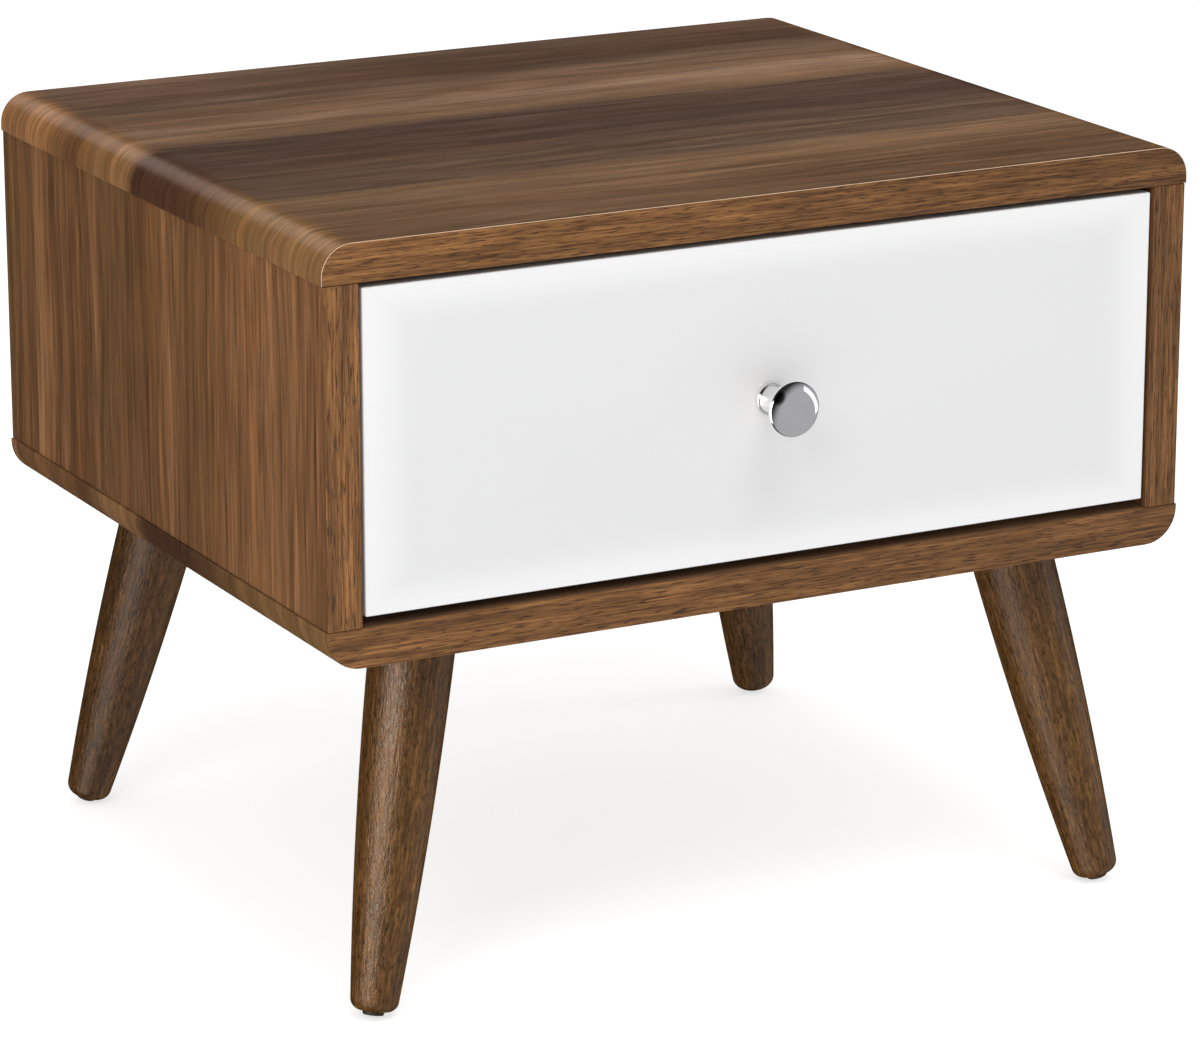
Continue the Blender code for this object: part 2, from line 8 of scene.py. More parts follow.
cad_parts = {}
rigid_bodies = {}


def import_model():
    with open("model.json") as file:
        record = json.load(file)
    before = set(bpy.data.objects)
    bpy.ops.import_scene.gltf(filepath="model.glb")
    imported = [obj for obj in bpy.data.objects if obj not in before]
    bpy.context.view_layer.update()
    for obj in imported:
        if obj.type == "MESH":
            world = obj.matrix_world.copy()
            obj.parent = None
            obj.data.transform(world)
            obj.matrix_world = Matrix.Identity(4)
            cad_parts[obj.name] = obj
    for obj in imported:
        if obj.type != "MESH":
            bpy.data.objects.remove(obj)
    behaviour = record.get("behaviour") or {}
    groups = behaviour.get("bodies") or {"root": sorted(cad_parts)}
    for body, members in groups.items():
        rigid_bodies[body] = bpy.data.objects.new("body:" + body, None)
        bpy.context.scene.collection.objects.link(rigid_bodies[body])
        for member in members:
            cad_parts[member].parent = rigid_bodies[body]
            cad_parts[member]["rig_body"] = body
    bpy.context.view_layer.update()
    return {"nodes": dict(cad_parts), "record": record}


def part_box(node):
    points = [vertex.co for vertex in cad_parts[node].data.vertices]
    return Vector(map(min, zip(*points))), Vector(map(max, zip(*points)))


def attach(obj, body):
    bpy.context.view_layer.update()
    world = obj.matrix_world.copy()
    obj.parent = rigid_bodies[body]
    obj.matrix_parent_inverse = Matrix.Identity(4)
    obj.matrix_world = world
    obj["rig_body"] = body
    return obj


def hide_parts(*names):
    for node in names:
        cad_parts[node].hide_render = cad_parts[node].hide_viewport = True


for startup in list(bpy.data.objects):
    bpy.data.objects.remove(startup)
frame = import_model()
nodes = frame["nodes"]

SIDES = {"left": -1, "right": 1}
ENDS = {"front": -1, "back": 1}

# The carcase, from the frame, in metres
FRONT_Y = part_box("top_edge_band")[0].y
BACK_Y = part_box("top_panel")[1].y
DEPTH = BACK_Y - FRONT_Y
MIDDLE_Y = (FRONT_Y + BACK_Y) / 2
UNDERSIDE_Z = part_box("bottom_panel")[0].z
BEND_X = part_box("top_panel")[1].x - 0.0155  # where the boards begin to bend down
BAND_REACH = 0.0016  # from the front to a board behind its band
BAND_GAP = 0.0003  # what the CAD leaves between a band and its board
EASED = 0.0003  # how far the edges of boards and bands are rounded
EASED_ANGLE = math.radians(30.0)  # only edges sharper than this are rounded

# The legs' design, as in the CAD
LEG_X = 0.1695
LEG_Y = 0.149
SPLAY_X = 0.22
SPLAY_Y = 0.18
LEG_RADIUS = 0.0212
LEG_TAPER = 0.131
LEG_BOW = 0.327
FOOT_ROUND = 0.0058
SEAT_GAP = 0.0003
BLOCK_RADIUS = 0.0235
BLOCK_THINNEST = 0.0035
GLIDE_RADIUS = 0.0053
GLIDE_THICKNESS = 0.0016
GLIDE_WEAR = 0.0003
BOLT_BORE = 0.0043
BOLT_IN_LEG = 0.045


# ---------------------------------------------------------------- materials


def srgb(red, green, blue):
    """A display colour, 0 to 255, as the linear colour that a shader takes."""

    def linear(value):
        share = value / 255
        if share <= 0.04045:
            return share / 12.92
        return ((share + 0.055) / 1.055) ** 2.4

    return (linear(red), linear(green), linear(blue), 1.0)


class Look:
    """A material being built: each method adds a node and returns its output."""

    def __init__(self, name):
        self.material = bpy.data.materials.new(name)
        self.material.use_nodes = True
        self.tree = self.material.node_tree
        self.shader = self.tree.nodes["Principled BSDF"]
        self.place = self.add("ShaderNodeTexCoord").outputs["Object"]

    def add(self, kind, **settings):
        node = self.tree.nodes.new(kind)
        for key, value in settings.items():
            setattr(node, key, value)
        return node

    def feed(self, socket, value):
        if isinstance(value, bpy.types.NodeSocket):
            self.tree.links.new(value, socket)
        else:
            socket.default_value = value

    def shade(self, **values):
        """Sets the shader's own sockets; _ stands for a space in their names."""
        for key, value in values.items():
            self.feed(self.shader.inputs[key.replace("_", " ")], value)

    def axes(self):
        node = self.add("ShaderNodeSeparateXYZ")
        self.feed(node.inputs[0], self.place)
        return node.outputs

    def noise(self, size, detail=2.0, roughness=0.5, distortion=0.0, seed=0.0):
        """Noise whose features have these sizes along X, Y and Z, in metres."""
        mapping = self.add("ShaderNodeMapping")
        self.feed(mapping.inputs["Vector"], self.place)
        mapping.inputs["Scale"].default_value = [1 / length for length in size]
        mapping.inputs["Location"].default_value = (seed, seed * 1.7, seed * 2.3)
        node = self.add("ShaderNodeTexNoise")
        self.feed(node.inputs["Vector"], mapping.outputs["Vector"])
        node.inputs["Scale"].default_value = 1.0
        node.inputs["Detail"].default_value = detail
        node.inputs["Roughness"].default_value = roughness
        node.inputs["Distortion"].default_value = distortion
        return node.outputs["Fac"]

    def push(self, across):
        """Moves the pattern along Y, so that grain drawn after it isn't quite straight."""
        offset = self.add("ShaderNodeCombineXYZ")
        self.feed(offset.inputs["Y"], across)
        node = self.add("ShaderNodeVectorMath", operation="ADD")
        self.feed(node.inputs[0], self.place)
        self.feed(node.inputs[1], offset.outputs[0])
        self.place = node.outputs[0]

    def calc(self, operation, first, second=0.0, third=0.0):
        node = self.add("ShaderNodeMath", operation=operation)
        for socket, value in zip(node.inputs, (first, second, third)):
            self.feed(socket, value)
        return node.outputs[0]

    def about_one(self, fac, gain):
        """A factor that varies about 1 as the noise varies about its middle."""
        return self.calc("MULTIPLY_ADD", self.calc("SUBTRACT", fac, 0.5), gain, 1.0)

    def product(self, *factors):
        total = factors[0]
        for factor in factors[1:]:
            total = self.calc("MULTIPLY", total, factor)
        return total

    def ramp(self, fac, stops):
        node = self.add("ShaderNodeValToRGB")
        elements = node.color_ramp.elements
        while len(elements) < len(stops):
            elements.new(1.0)
        for element, (position, colour) in zip(elements, stops):
            element.position = position
            element.color = colour
        self.feed(node.inputs["Fac"], fac)
        return node.outputs["Color"]

    def step(self, fac, low, high):
        """0 below low, 1 above high, smooth between them."""
        node = self.add("ShaderNodeMapRange", interpolation_type="SMOOTHSTEP")
        self.feed(node.inputs["Value"], fac)
        node.inputs["From Min"].default_value = low
        node.inputs["From Max"].default_value = high
        return node.outputs["Result"]

    def mix(self, fac, first, second):
        node = self.add("ShaderNodeMix", data_type="RGBA")
        self.feed(node.inputs[0], fac)
        first_colour, second_colour = node.inputs[6], node.inputs[7]
        self.feed(first_colour, first)
        self.feed(second_colour, second)
        return node.outputs[2]

    def tint(self, colour, factor):
        """The colour made lighter or darker by a factor."""
        node = self.add("ShaderNodeVectorMath", operation="SCALE")
        self.feed(node.inputs[0], colour[:3] if isinstance(colour, tuple) else colour)
        self.feed(node.inputs["Scale"], factor)
        return node.outputs[0]

    def cast(self, colour, factors):
        """The colour with its red, green and blue each multiplied by a factor."""
        node = self.add("ShaderNodeVectorMath", operation="MULTIPLY")
        self.feed(node.inputs[0], colour)
        self.feed(node.inputs[1], factors)
        return node.outputs[0]

    def bump(self, height, distance):
        node = self.add("ShaderNodeBump")
        self.feed(node.inputs["Height"], height)
        node.inputs["Distance"].default_value = distance
        self.feed(self.shader.inputs["Normal"], node.outputs["Normal"])


def grain(along, length, width):
    """Feature sizes for grain that runs along one axis."""
    return [length if axis == along else width for axis in "XYZ"]


def foil(along, length, width):
    """Feature sizes for a printed foil whose grain bends over the ends of its board."""
    return [length if axis == along or (along, axis) == ("X", "Z") else width for axis in "XYZ"]


# Tones of the printed walnut
UMBER = (84, 64, 53)
DEEP = (82, 60, 46)
OLIVE = (97, 76, 61)
TAN = (109, 84, 65)
SAND = (117, 90, 67)
FOX = (108, 82, 61)
PALE = (131, 103, 81)
NUT = (99, 70, 46)
FAWN = (107, 76, 50)
RUST = (108, 77, 50)
OCHRE = (122, 88, 60)

# Where each tone lies, in millimetres from the back edge
TOP_BANDS = (
    (0, (95, 73, 58)), (30, (92, 70, 55)), (48, DEEP), (70, OLIVE), (86, TAN), (106, TAN),
    (122, PALE), (140, PALE), (160, SAND), (169, UMBER), (225, UMBER), (262, OLIVE),
    (296, OLIVE), (303, SAND), (345, SAND), (360, FOX), (400, FOX),
)
# The same on the rounded ends, where the print looks deeper
END_BANDS = (
    (0, (108, 79, 53)), (30, (118, 87, 58)), (70, (112, 82, 54)), (100, (94, 67, 44)),
    (118, (118, 89, 60)), (164, (130, 99, 68)), (180, (72, 49, 37)), (241, (74, 51, 37)),
    (272, (102, 75, 49)), (304, (116, 88, 57)), (340, (124, 95, 63)), (400, (128, 99, 66)),
)
SIDE_BANDS = (
    (0, (92, 67, 40)), (28, FAWN), (35, FAWN), (46, (146, 109, 75)), (54, OCHRE), (62, FAWN),
    (80, FAWN), (98, NUT), (146, (108, 79, 52)), (185, NUT), (205, RUST), (215, (119, 86, 59)),
    (228, RUST), (268, RUST), (285, (121, 86, 58)), (325, (128, 92, 62)), (342, (127, 91, 62)),
    (362, OCHRE), (400, (113, 79, 54)),
)
# The gloss adds white light, so the surface colours hold less green and blue
TOP_CAST = (1.09, 1.12, 1.10)
TOP_END_CAST = (1.03, 0.95, 0.81)
# Painted shade: the bottom board's ends take the top ends' cast made about an eighth darker.
BOTTOM_END_SHADED_CAST = (0.90, 0.83, 0.70)
SIDE_CAST = (0.98, 0.92, 0.74)


def ramp_stops(bands):
    """Bands given in millimetres, as stops along a ramp over the depth."""
    return [(place / 1000 / DEPTH, srgb(*tone)) for place, tone in bands]


def walnut(name, along, bands, seed, contrast, cast, end_cast=None, smoke=0.0):
    """Printed walnut laminate: bands across the depth, streaks, figure and pores."""
    look = Look(name)
    sway = look.noise(foil(along, 0.17, 0.07), 1.5, seed=seed + 21)
    look.push(look.calc("MULTIPLY_ADD", sway, 0.014, -0.007))
    x, y, _ = look.axes()
    waver = look.noise(foil(along, 0.14, 0.016), 2.0, seed=seed + 3)
    shift = look.calc("MULTIPLY_ADD", waver, 0.020, -0.010)
    from_back = look.calc("SUBTRACT", BACK_Y, y)
    share = look.calc("MULTIPLY_ADD", from_back, 1 / DEPTH, shift)
    colour = look.cast(look.ramp(share, ramp_stops(bands)), cast)

    bent = 0.0
    if end_cast:
        bent = look.step(look.calc("ABSOLUTE", x), BEND_X - 0.006, BEND_X + 0.007)
        # Painted shade: the flat part is made darker to the left and lighter to the right.
        flat = look.tint(colour, look.calc("MULTIPLY_ADD", x, 0.62, 0.94))
        ends = look.cast(look.ramp(share, ramp_stops(END_BANDS)), end_cast)
        colour = look.mix(bent, flat, ends)
    gain = look.calc("MULTIPLY_ADD", bent, 0.15, contrast)
    broad = look.noise(foil(along, 0.40, 0.0085), 3.0, 0.60, seed=seed + 5)
    streaks = look.noise(foil(along, 0.17, 0.0026), 5.0, 0.74, seed=seed + 7)
    fibres = look.noise(foil(along, 0.060, 0.00145), 3.0, 0.68, seed=seed + 9)
    rings = look.noise(foil(along, 0.26, 0.034), 1.5, 0.4, 0.35, seed=seed + 11)
    figure = look.calc("SINE", look.calc("MULTIPLY", rings, 75.0))
    where = look.step(look.noise(foil(along, 0.18, 0.08), 1.0, seed=seed + 13), 0.44, 0.60)
    figure = look.calc("MULTIPLY_ADD", look.calc("MULTIPLY", figure, where), 0.10, 1.0)
    smudges = look.noise(foil(along, 0.075, 0.010), 2.0, seed=seed + 23)
    pores = look.step(look.noise(foil(along, 0.0100, 0.00080), 2.0, seed=seed + 15), 0.30, 0.42)
    pale_lines = look.step(look.noise(foil(along, 0.30, 0.0015), 1.0, seed=seed + 19), 0.64, 0.69)
    dark_lines = look.step(look.noise(foil(along, 0.16, 0.0017), 1.0, seed=seed + 25), 0.37, 0.33)
    smoky = look.product(
        look.step(x, -0.10, 0.16), look.step(from_back, 0.318, 0.350), smoke
    )
    fair = look.product(
        look.step(x, 0.02, -0.14), look.step(from_back, 0.085, 0.055), 1.8 * smoke
    )
    factor = look.product(
        look.about_one(broad, 1.35),
        look.about_one(streaks, look.calc("MULTIPLY", gain, 1.4)),
        look.about_one(fibres, look.calc("MULTIPLY", gain, 2.4)),
        look.about_one(smudges, 0.60),
        figure,
        look.calc("MULTIPLY_ADD", pores, 0.28, 0.75),
        look.calc("MULTIPLY_ADD", pale_lines, look.calc("MULTIPLY", gain, 0.16), 1.0),
        look.calc("MULTIPLY_ADD", dark_lines, look.calc("MULTIPLY", gain, -0.15), 1.0),
        look.calc("SUBTRACT", 1.0, smoky),
        look.calc("ADD", 1.0, fair),
    )
    redness = look.step(look.noise(foil(along, 0.40, 0.030), 2.0, seed=seed + 17), 0.40, 0.66)
    hue = look.mix(redness, (1.0, 0.98, 0.98, 1.0), (1.03, 0.955, 0.88, 1.0))
    look.shade(Base_Color=look.cast(look.tint(colour, factor), hue))
    roughness = look.calc("MULTIPLY_ADD", streaks, 0.20, 0.32)
    look.shade(Roughness=look.calc("MULTIPLY_ADD", bent, -0.12, roughness))
    look.shade(Specular_IOR_Level=0.30)
    relief = look.calc("MULTIPLY_ADD", pores, 0.6, look.calc("MULTIPLY", fibres, 0.6))
    look.bump(relief, 0.00006)
    return look.material


def edge_band(name, along, seed):
    """Open-grained edge band: a warm brown with long streaks and short dark dashes."""
    look = Look(name)
    broad = look.noise(grain(along, 0.13, 0.0055), 2.0, seed=seed)
    streaks = look.noise(grain(along, 0.042, 0.0013), 4.0, 0.65, 0.25, seed=seed + 3)
    dashes = look.noise(grain(along, 0.0110, 0.00075), 3.0, 0.60, 0.35, seed=seed + 5)
    colour = look.ramp(
        streaks,
        [(0.30, srgb(84, 53, 26)), (0.48, srgb(123, 82, 43)), (0.68, srgb(156, 108, 60))],
    )
    open_grain = look.step(dashes, 0.34, 0.50)
    colour = look.mix(open_grain, srgb(74, 46, 23), colour)
    # Painted shade: the bands are made darker towards the right.
    darker = look.calc("MULTIPLY_ADD", look.axes()[0], -0.46, 0.80)
    factor = look.calc("MULTIPLY", look.about_one(broad, 1.1), darker)
    look.shade(Base_Color=look.tint(colour, factor))
    look.shade(Roughness=look.calc("MULTIPLY_ADD", streaks, 0.2, 0.36))
    look.shade(Specular_IOR_Level=0.3)
    look.bump(open_grain, 0.00008)
    return look.material


def arris(name, colour):
    """A pale edge line: partly wear, where the print gives way to the paler paper under it, and
    partly a painted highlight.
    """
    look = Look(name)
    wear = look.noise((0.012, 0.012, 0.012), 3.0, 0.6)
    patches = look.noise((0.0025, 0.0025, 0.0025), 2.0, 0.6, seed=4)
    factor = look.calc("MULTIPLY", look.about_one(wear, 0.5), look.about_one(patches, 0.35))
    look.shade(Base_Color=look.tint(srgb(*colour), factor))
    look.shade(Roughness=look.calc("MULTIPLY_ADD", wear, 0.25, 0.3), Specular_IOR_Level=0.4)
    look.bump(patches, 0.00003)
    return look.material


def stained_wood(name, along, seed, tone):
    """Solid wood under a brown stain and satin lacquer, flecked along the grain."""
    look = Look(name)
    clouds = look.noise(grain(along, 0.060, 0.020), 3.0, 0.55, seed=seed)
    streaks = look.noise(grain(along, 0.035, 0.0017), 3.0, 0.62, 0.3, seed=seed + 3)
    flecks = look.noise(grain(along, 0.0052, 0.0016), 3.0, 0.60, 0.7, seed=seed + 5)
    colour = look.ramp(
        streaks,
        [(0.28, srgb(62, 38, 10)), (0.48, srgb(84, 54, 18)), (0.70, srgb(108, 73, 29))],
    )
    factor = look.calc("MULTIPLY", look.about_one(clouds, 1.4), look.about_one(flecks, 2.9))
    look.shade(Base_Color=look.tint(colour, look.calc("MULTIPLY", factor, tone)))
    look.shade(Roughness=look.calc("MULTIPLY_ADD", flecks, 0.50, 0.08))
    look.shade(Specular_IOR_Level=0.38)
    relief = look.calc("MULTIPLY_ADD", flecks, 1.0, look.calc("MULTIPLY", streaks, 0.6))
    look.bump(relief, 0.00040)
    return look.material


def lacquer(name, half_width, middle_z, half_height):
    """White lacquer, with painted light making it paler towards its edges, and a faint sprayed
    texture.
    """
    look = Look(name)
    x, _, z = look.axes()
    across = look.calc("DIVIDE", look.calc("ABSOLUTE", x), half_width)
    up = look.calc("ABSOLUTE", look.calc("SUBTRACT", z, middle_z))
    up = look.calc("DIVIDE", up, half_height)
    # Painted light: the colour is paler in a band along the edges.
    rim = look.calc("MAXIMUM", look.step(across, 0.86, 1.0), look.step(up, 0.72, 1.0))
    clouds = look.noise((0.16, 0.16, 0.09), 2.0, 0.4)
    colour = look.mix(rim, (0.680, 0.680, 0.683, 1.0), (0.765, 0.765, 0.765, 1.0))
    look.shade(Base_Color=look.tint(colour, look.about_one(clouds, 0.035)))
    spray = look.noise((0.0021, 0.0021, 0.0021), 2.0, 0.5)
    specks = look.noise((0.0004, 0.0004, 0.0004), 1.0, 0.5, seed=5)
    look.shade(Roughness=look.calc("MULTIPLY_ADD", specks, 0.10, 0.27))
    look.shade(Specular_IOR_Level=0.40, Coat_Weight=0.10, Coat_Roughness=0.12)
    look.bump(spray, 0.000012)
    return look.material


def melamine(name):
    """White melamine-faced board with a fine matt texture."""
    look = Look(name)
    clouds = look.noise((0.12, 0.12, 0.12), 2.0)
    pearl = look.noise((0.0011, 0.0011, 0.0011), 2.0, 0.6, seed=2)
    look.shade(Base_Color=look.tint(srgb(231, 230, 226), look.about_one(clouds, 0.05)))
    look.shade(Roughness=look.calc("MULTIPLY_ADD", pearl, 0.20, 0.38))
    look.shade(Specular_IOR_Level=0.35)
    look.bump(pearl, 0.00004)
    return look.material


def hardboard(name):
    """Thin wood-faced back panel, plain sliced."""
    look = Look(name)
    broad = look.noise(grain("Z", 0.20, 0.014), 3.0, 0.5)
    streaks = look.noise(grain("Z", 0.060, 0.0018), 3.0, 0.62, 0.3, seed=3)
    fibres = look.noise(grain("Z", 0.009, 0.0005), 2.0, 0.6, seed=5)
    colour = look.ramp(
        broad, [(0.30, srgb(86, 61, 40)), (0.50, srgb(104, 75, 49)), (0.72, srgb(124, 92, 62))]
    )
    factor = look.calc("MULTIPLY", look.about_one(streaks, 0.55), look.about_one(fibres, 0.45))
    look.shade(Base_Color=look.tint(colour, look.calc("MULTIPLY", factor, 0.95)))
    look.shade(Roughness=look.calc("MULTIPLY_ADD", fibres, 0.2, 0.48))
    look.shade(Specular_IOR_Level=0.2)
    look.bump(fibres, 0.00006)
    return look.material


def metal(name, colour, roughness, spread, polish_marks, relief):
    """A metal with faint marks from polishing or plating."""
    look = Look(name)
    clouds = look.noise((0.006, 0.006, 0.006), 3.0, 0.6)
    marks = look.noise(polish_marks, 3.0, 0.6, seed=3)
    look.shade(Base_Color=look.tint(colour, look.about_one(clouds, 0.16)))
    look.shade(Metallic=1.0)
    look.shade(Roughness=look.calc("MULTIPLY_ADD", marks, spread, roughness))
    look.bump(marks, relief)
    return look.material


def coated_steel(name):
    """Runner steel under a grey-white powder coat."""
    look = Look(name)
    clouds = look.noise((0.03, 0.03, 0.03), 2.0)
    peel = look.noise((0.0009, 0.0009, 0.0009), 2.0, 0.55, seed=2)
    rubbed = look.step(look.noise((0.03, 0.03, 0.0006), 2.0, 0.5, seed=6), 0.60, 0.76)
    colour = look.mix(rubbed, srgb(214, 214, 211), srgb(192, 192, 190))
    look.shade(Base_Color=look.tint(colour, look.about_one(clouds, 0.08)))
    look.shade(Roughness=look.calc("MULTIPLY_ADD", peel, 0.2, 0.30))
    look.shade(Specular_IOR_Level=0.5)
    look.bump(peel, 0.00004)
    return look.material


def plastic(name, colour, roughness, relief):
    """Moulded plastic with a fine grain."""
    look = Look(name)
    clouds = look.noise((0.004, 0.004, 0.004), 2.0)
    moulded = look.noise((0.0006, 0.0006, 0.0006), 2.0, 0.6, seed=3)
    look.shade(Base_Color=look.tint(srgb(*colour), look.about_one(clouds, 0.16)))
    look.shade(Roughness=look.calc("MULTIPLY_ADD", moulded, 0.25, roughness))
    look.shade(Specular_IOR_Level=0.4)
    look.bump(moulded, relief)
    return look.material


face_low, face_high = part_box("drawer_front")
face_middle = (face_low + face_high) / 2
LOOKS = {
    "top": walnut("walnut_top", "X", TOP_BANDS, 0.0, 0.70, TOP_CAST, TOP_END_CAST, 0.25),
    "bottom": walnut("walnut_bottom", "X", TOP_BANDS, 40.0, 0.80, TOP_CAST, BOTTOM_END_SHADED_CAST),
    "left_side": walnut("walnut_left_side", "Z", SIDE_BANDS, 80.0, 1.1, SIDE_CAST),
    "right_side": walnut("walnut_right_side", "Z", SIDE_BANDS, 120.0, 1.1, SIDE_CAST),
    "band_x": edge_band("edge_band_across", "X", 0.0),
    "band_z": edge_band("edge_band_upright", "Z", 30.0),
    # A pale edge colour standing for wear and a painted highlight.
    "arris": arris("worn_arris_painted_highlight", (196, 166, 138)),
    # Painted light and shade: the front legs' stain is made a little lighter, and the back legs'
    # much darker, than the block's.
    "stained_front": stained_wood("stained_front_leg_painted_light", "Z", 0.0, 0.96),
    "stained_back": stained_wood("stained_back_leg_painted_shade", "Z", 25.0, 0.72),
    "stained_block": stained_wood("stained_block", "X", 50.0, 0.90),
    "lacquer": lacquer(
        "white_lacquer_front", face_high.x, face_middle.z, face_high.z - face_middle.z
    ),
    "melamine": melamine("white_melamine_board"),
    "hardboard": hardboard("wood_faced_back"),
    "chrome": metal(
        "polished_chrome", (0.93, 0.93, 0.94, 1), 0.035, 0.05, (0.003, 0.0006, 0.003), 0.000002
    ),
    "zinc": metal("zinc_plate", srgb(176, 178, 172), 0.26, 0.22, (0.0009, 0.0009, 0.0009), 0.00001),
    "runner": coated_steel("powder_coated_steel"),
    "nylon": plastic("white_nylon", (226, 224, 214), 0.30, 0.00001),
    "glide": plastic("dark_glide", (44, 35, 29), 0.50, 0.00003),
}
SLOT_LOOKS = {
    "walnut_laminate": "top",
    "walnut_edge_band": "band_x",
    "stained_wood": "stained_block",
    "white_lacquer": "lacquer",
    "white_melamine": "melamine",
    "brown_hardboard": "hardboard",
    "chrome": "chrome",
    "zinc_plated_steel": "zinc",
    "coated_steel": "runner",
    "nylon": "nylon",
    "dark_plastic": "glide",
}
NODE_SLOTS = {row["node"]: row["material_slot"] for row in frame["record"]["subparts"]}


# ------------------------------------------------------------------- pieces


def body_of(node):
    return nodes[node]["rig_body"]


def new_piece(name, shape, node, looks, sharp=30.0, matrix=None):
    """A shown piece made from a bmesh, which stands for a CAD node and rides as it does."""
    mesh = bpy.data.meshes.new(name)
    shape.to_mesh(mesh)
    shape.free()
    for look in looks:
        mesh.materials.append(LOOKS[look])
    mesh.shade_smooth()
    mesh.set_sharp_from_angle(angle=math.radians(sharp))
    piece = bpy.data.objects.new(name, mesh)
    bpy.context.scene.collection.objects.link(piece)
    if matrix:
        piece.matrix_world = matrix
    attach(piece, body_of(node))
    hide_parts(node)
    return piece


def cad_shape(node):
    """A CAD node's surface with its triangles joined into whole faces."""
    shape = bmesh.new()
    shape.from_mesh(nodes[node].data)
    normals = shape.loops.layers.float_vector.get("custom_normal")
    if normals:
        shape.loops.layers.float_vector.remove(normals)
    bmesh.ops.remove_doubles(shape, verts=shape.verts, dist=2e-6)
    bmesh.ops.dissolve_limit(
        shape, angle_limit=math.radians(0.4), verts=shape.verts, edges=shape.edges
    )
    for face in shape.faces:
        face.material_index = 0
    return shape


def ease_edges(shape, width, material, wanted=None):
    """Rounds the sharp outward edges: all of them, or those that are wanted."""
    edges = []
    for edge in shape.edges:
        if len(edge.link_faces) != 2 or not edge.is_convex:
            continue
        if edge.calc_face_angle(0) < EASED_ANGLE:
            continue
        if wanted and not wanted(edge):
            continue
        edges.append(edge)
    bmesh.ops.bevel(
        shape,
        geom=edges,
        offset=width,
        segments=2,
        profile=0.5,
        affect="EDGES",
        clamp_overlap=True,
        material=material,
    )


def flat_faces_stay_flat(piece):
    """Weights the normals by area, so that a rounded edge doesn't shade its faces."""
    modifier = piece.modifiers.new("flat_faces", "WEIGHTED_NORMAL")
    modifier.keep_sharp = True
    modifier.weight = 100


def refined(node, name, looks, width, change=None, sharp=50.0, eased=None, worn_and_highlit=None):
    """A CAD shape with its edges rounded, and the faces of an edge with wear and a painted
    highlight in the second look.
    """
    shape = cad_shape(node)
    if change:
        change(shape)
    if width:
        ease_edges(shape, width, 1 if worn_and_highlit else 0, eased)
    if worn_and_highlit:
        for face in shape.faces:
            if face.material_index == 1 and not worn_and_highlit(face):
                face.material_index = 0
    piece = new_piece(name, shape, node, looks, sharp)
    flat_faces_stay_flat(piece)
    return piece


def behind_joint(edge):
    """True for a board's edges that aren't in its joint with the front band."""
    return max(vertex.co.y for vertex in edge.verts) > FRONT_Y + BAND_REACH


def in_front(edge):
    return max(vertex.co.y for vertex in edge.verts) < FRONT_Y + 1e-5


def rubbed(face):
    """True for the rounded edge of the top band along its top and round its ends, which has wear
    and a painted highlight.
    """
    low_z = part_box("top_edge_band")[0].z
    return max(vertex.co.z for vertex in face.verts) > low_z + 0.0005


def band_the_back(shape):
    """Gives a board's back face the second look, an edge band."""
    for face in shape.faces:
        if face.normal.y > 0.9 and face.calc_center_median().y > BACK_Y - 1e-4:
            face.material_index = 1


def close_band_gap(shape):
    """Brings a band's rear face onto its board."""
    rear = max(vertex.co.y for vertex in shape.verts)
    for vertex in shape.verts:
        if vertex.co.y > rear - 1e-5:
            vertex.co.y += BAND_GAP


def turned(profile, segments):
    """Spins (radius, height) points about Z; a radius of 0 closes the end."""
    shape = bmesh.new()
    rings = []
    for radius, height in profile:
        if radius < 1e-7:
            rings.append([shape.verts.new((0, 0, height))])
            continue
        ring = []
        for step in range(segments):
            turn = 2 * math.pi * step / segments
            across = (radius * math.cos(turn), radius * math.sin(turn))
            ring.append(shape.verts.new((*across, height)))
        rings.append(ring)
    for lower, upper in zip(rings, rings[1:]):
        if len(lower) == 1 and len(upper) == 1:
            continue
        for step in range(segments):
            after = (step + 1) % segments
            if len(lower) == 1:
                shape.faces.new((lower[0], upper[after], upper[step]))
            elif len(upper) == 1:
                shape.faces.new((lower[step], lower[after], upper[0]))
            else:
                shape.faces.new((lower[step], lower[after], upper[after], upper[step]))
    bmesh.ops.recalc_face_normals(shape, faces=shape.faces)
    return shape


def arc(centre, radius, start, end, steps):
    """Points on an arc, angles in degrees."""
    points = []
    for step in range(steps + 1):
        angle = math.radians(start + (end - start) * step / steps)
        points.append(
            (centre[0] + radius * math.cos(angle), centre[1] + radius * math.sin(angle))
        )
    return points


def leg_radius(share):
    return LEG_RADIUS * (1 - LEG_TAPER * share - LEG_BOW * share**2)


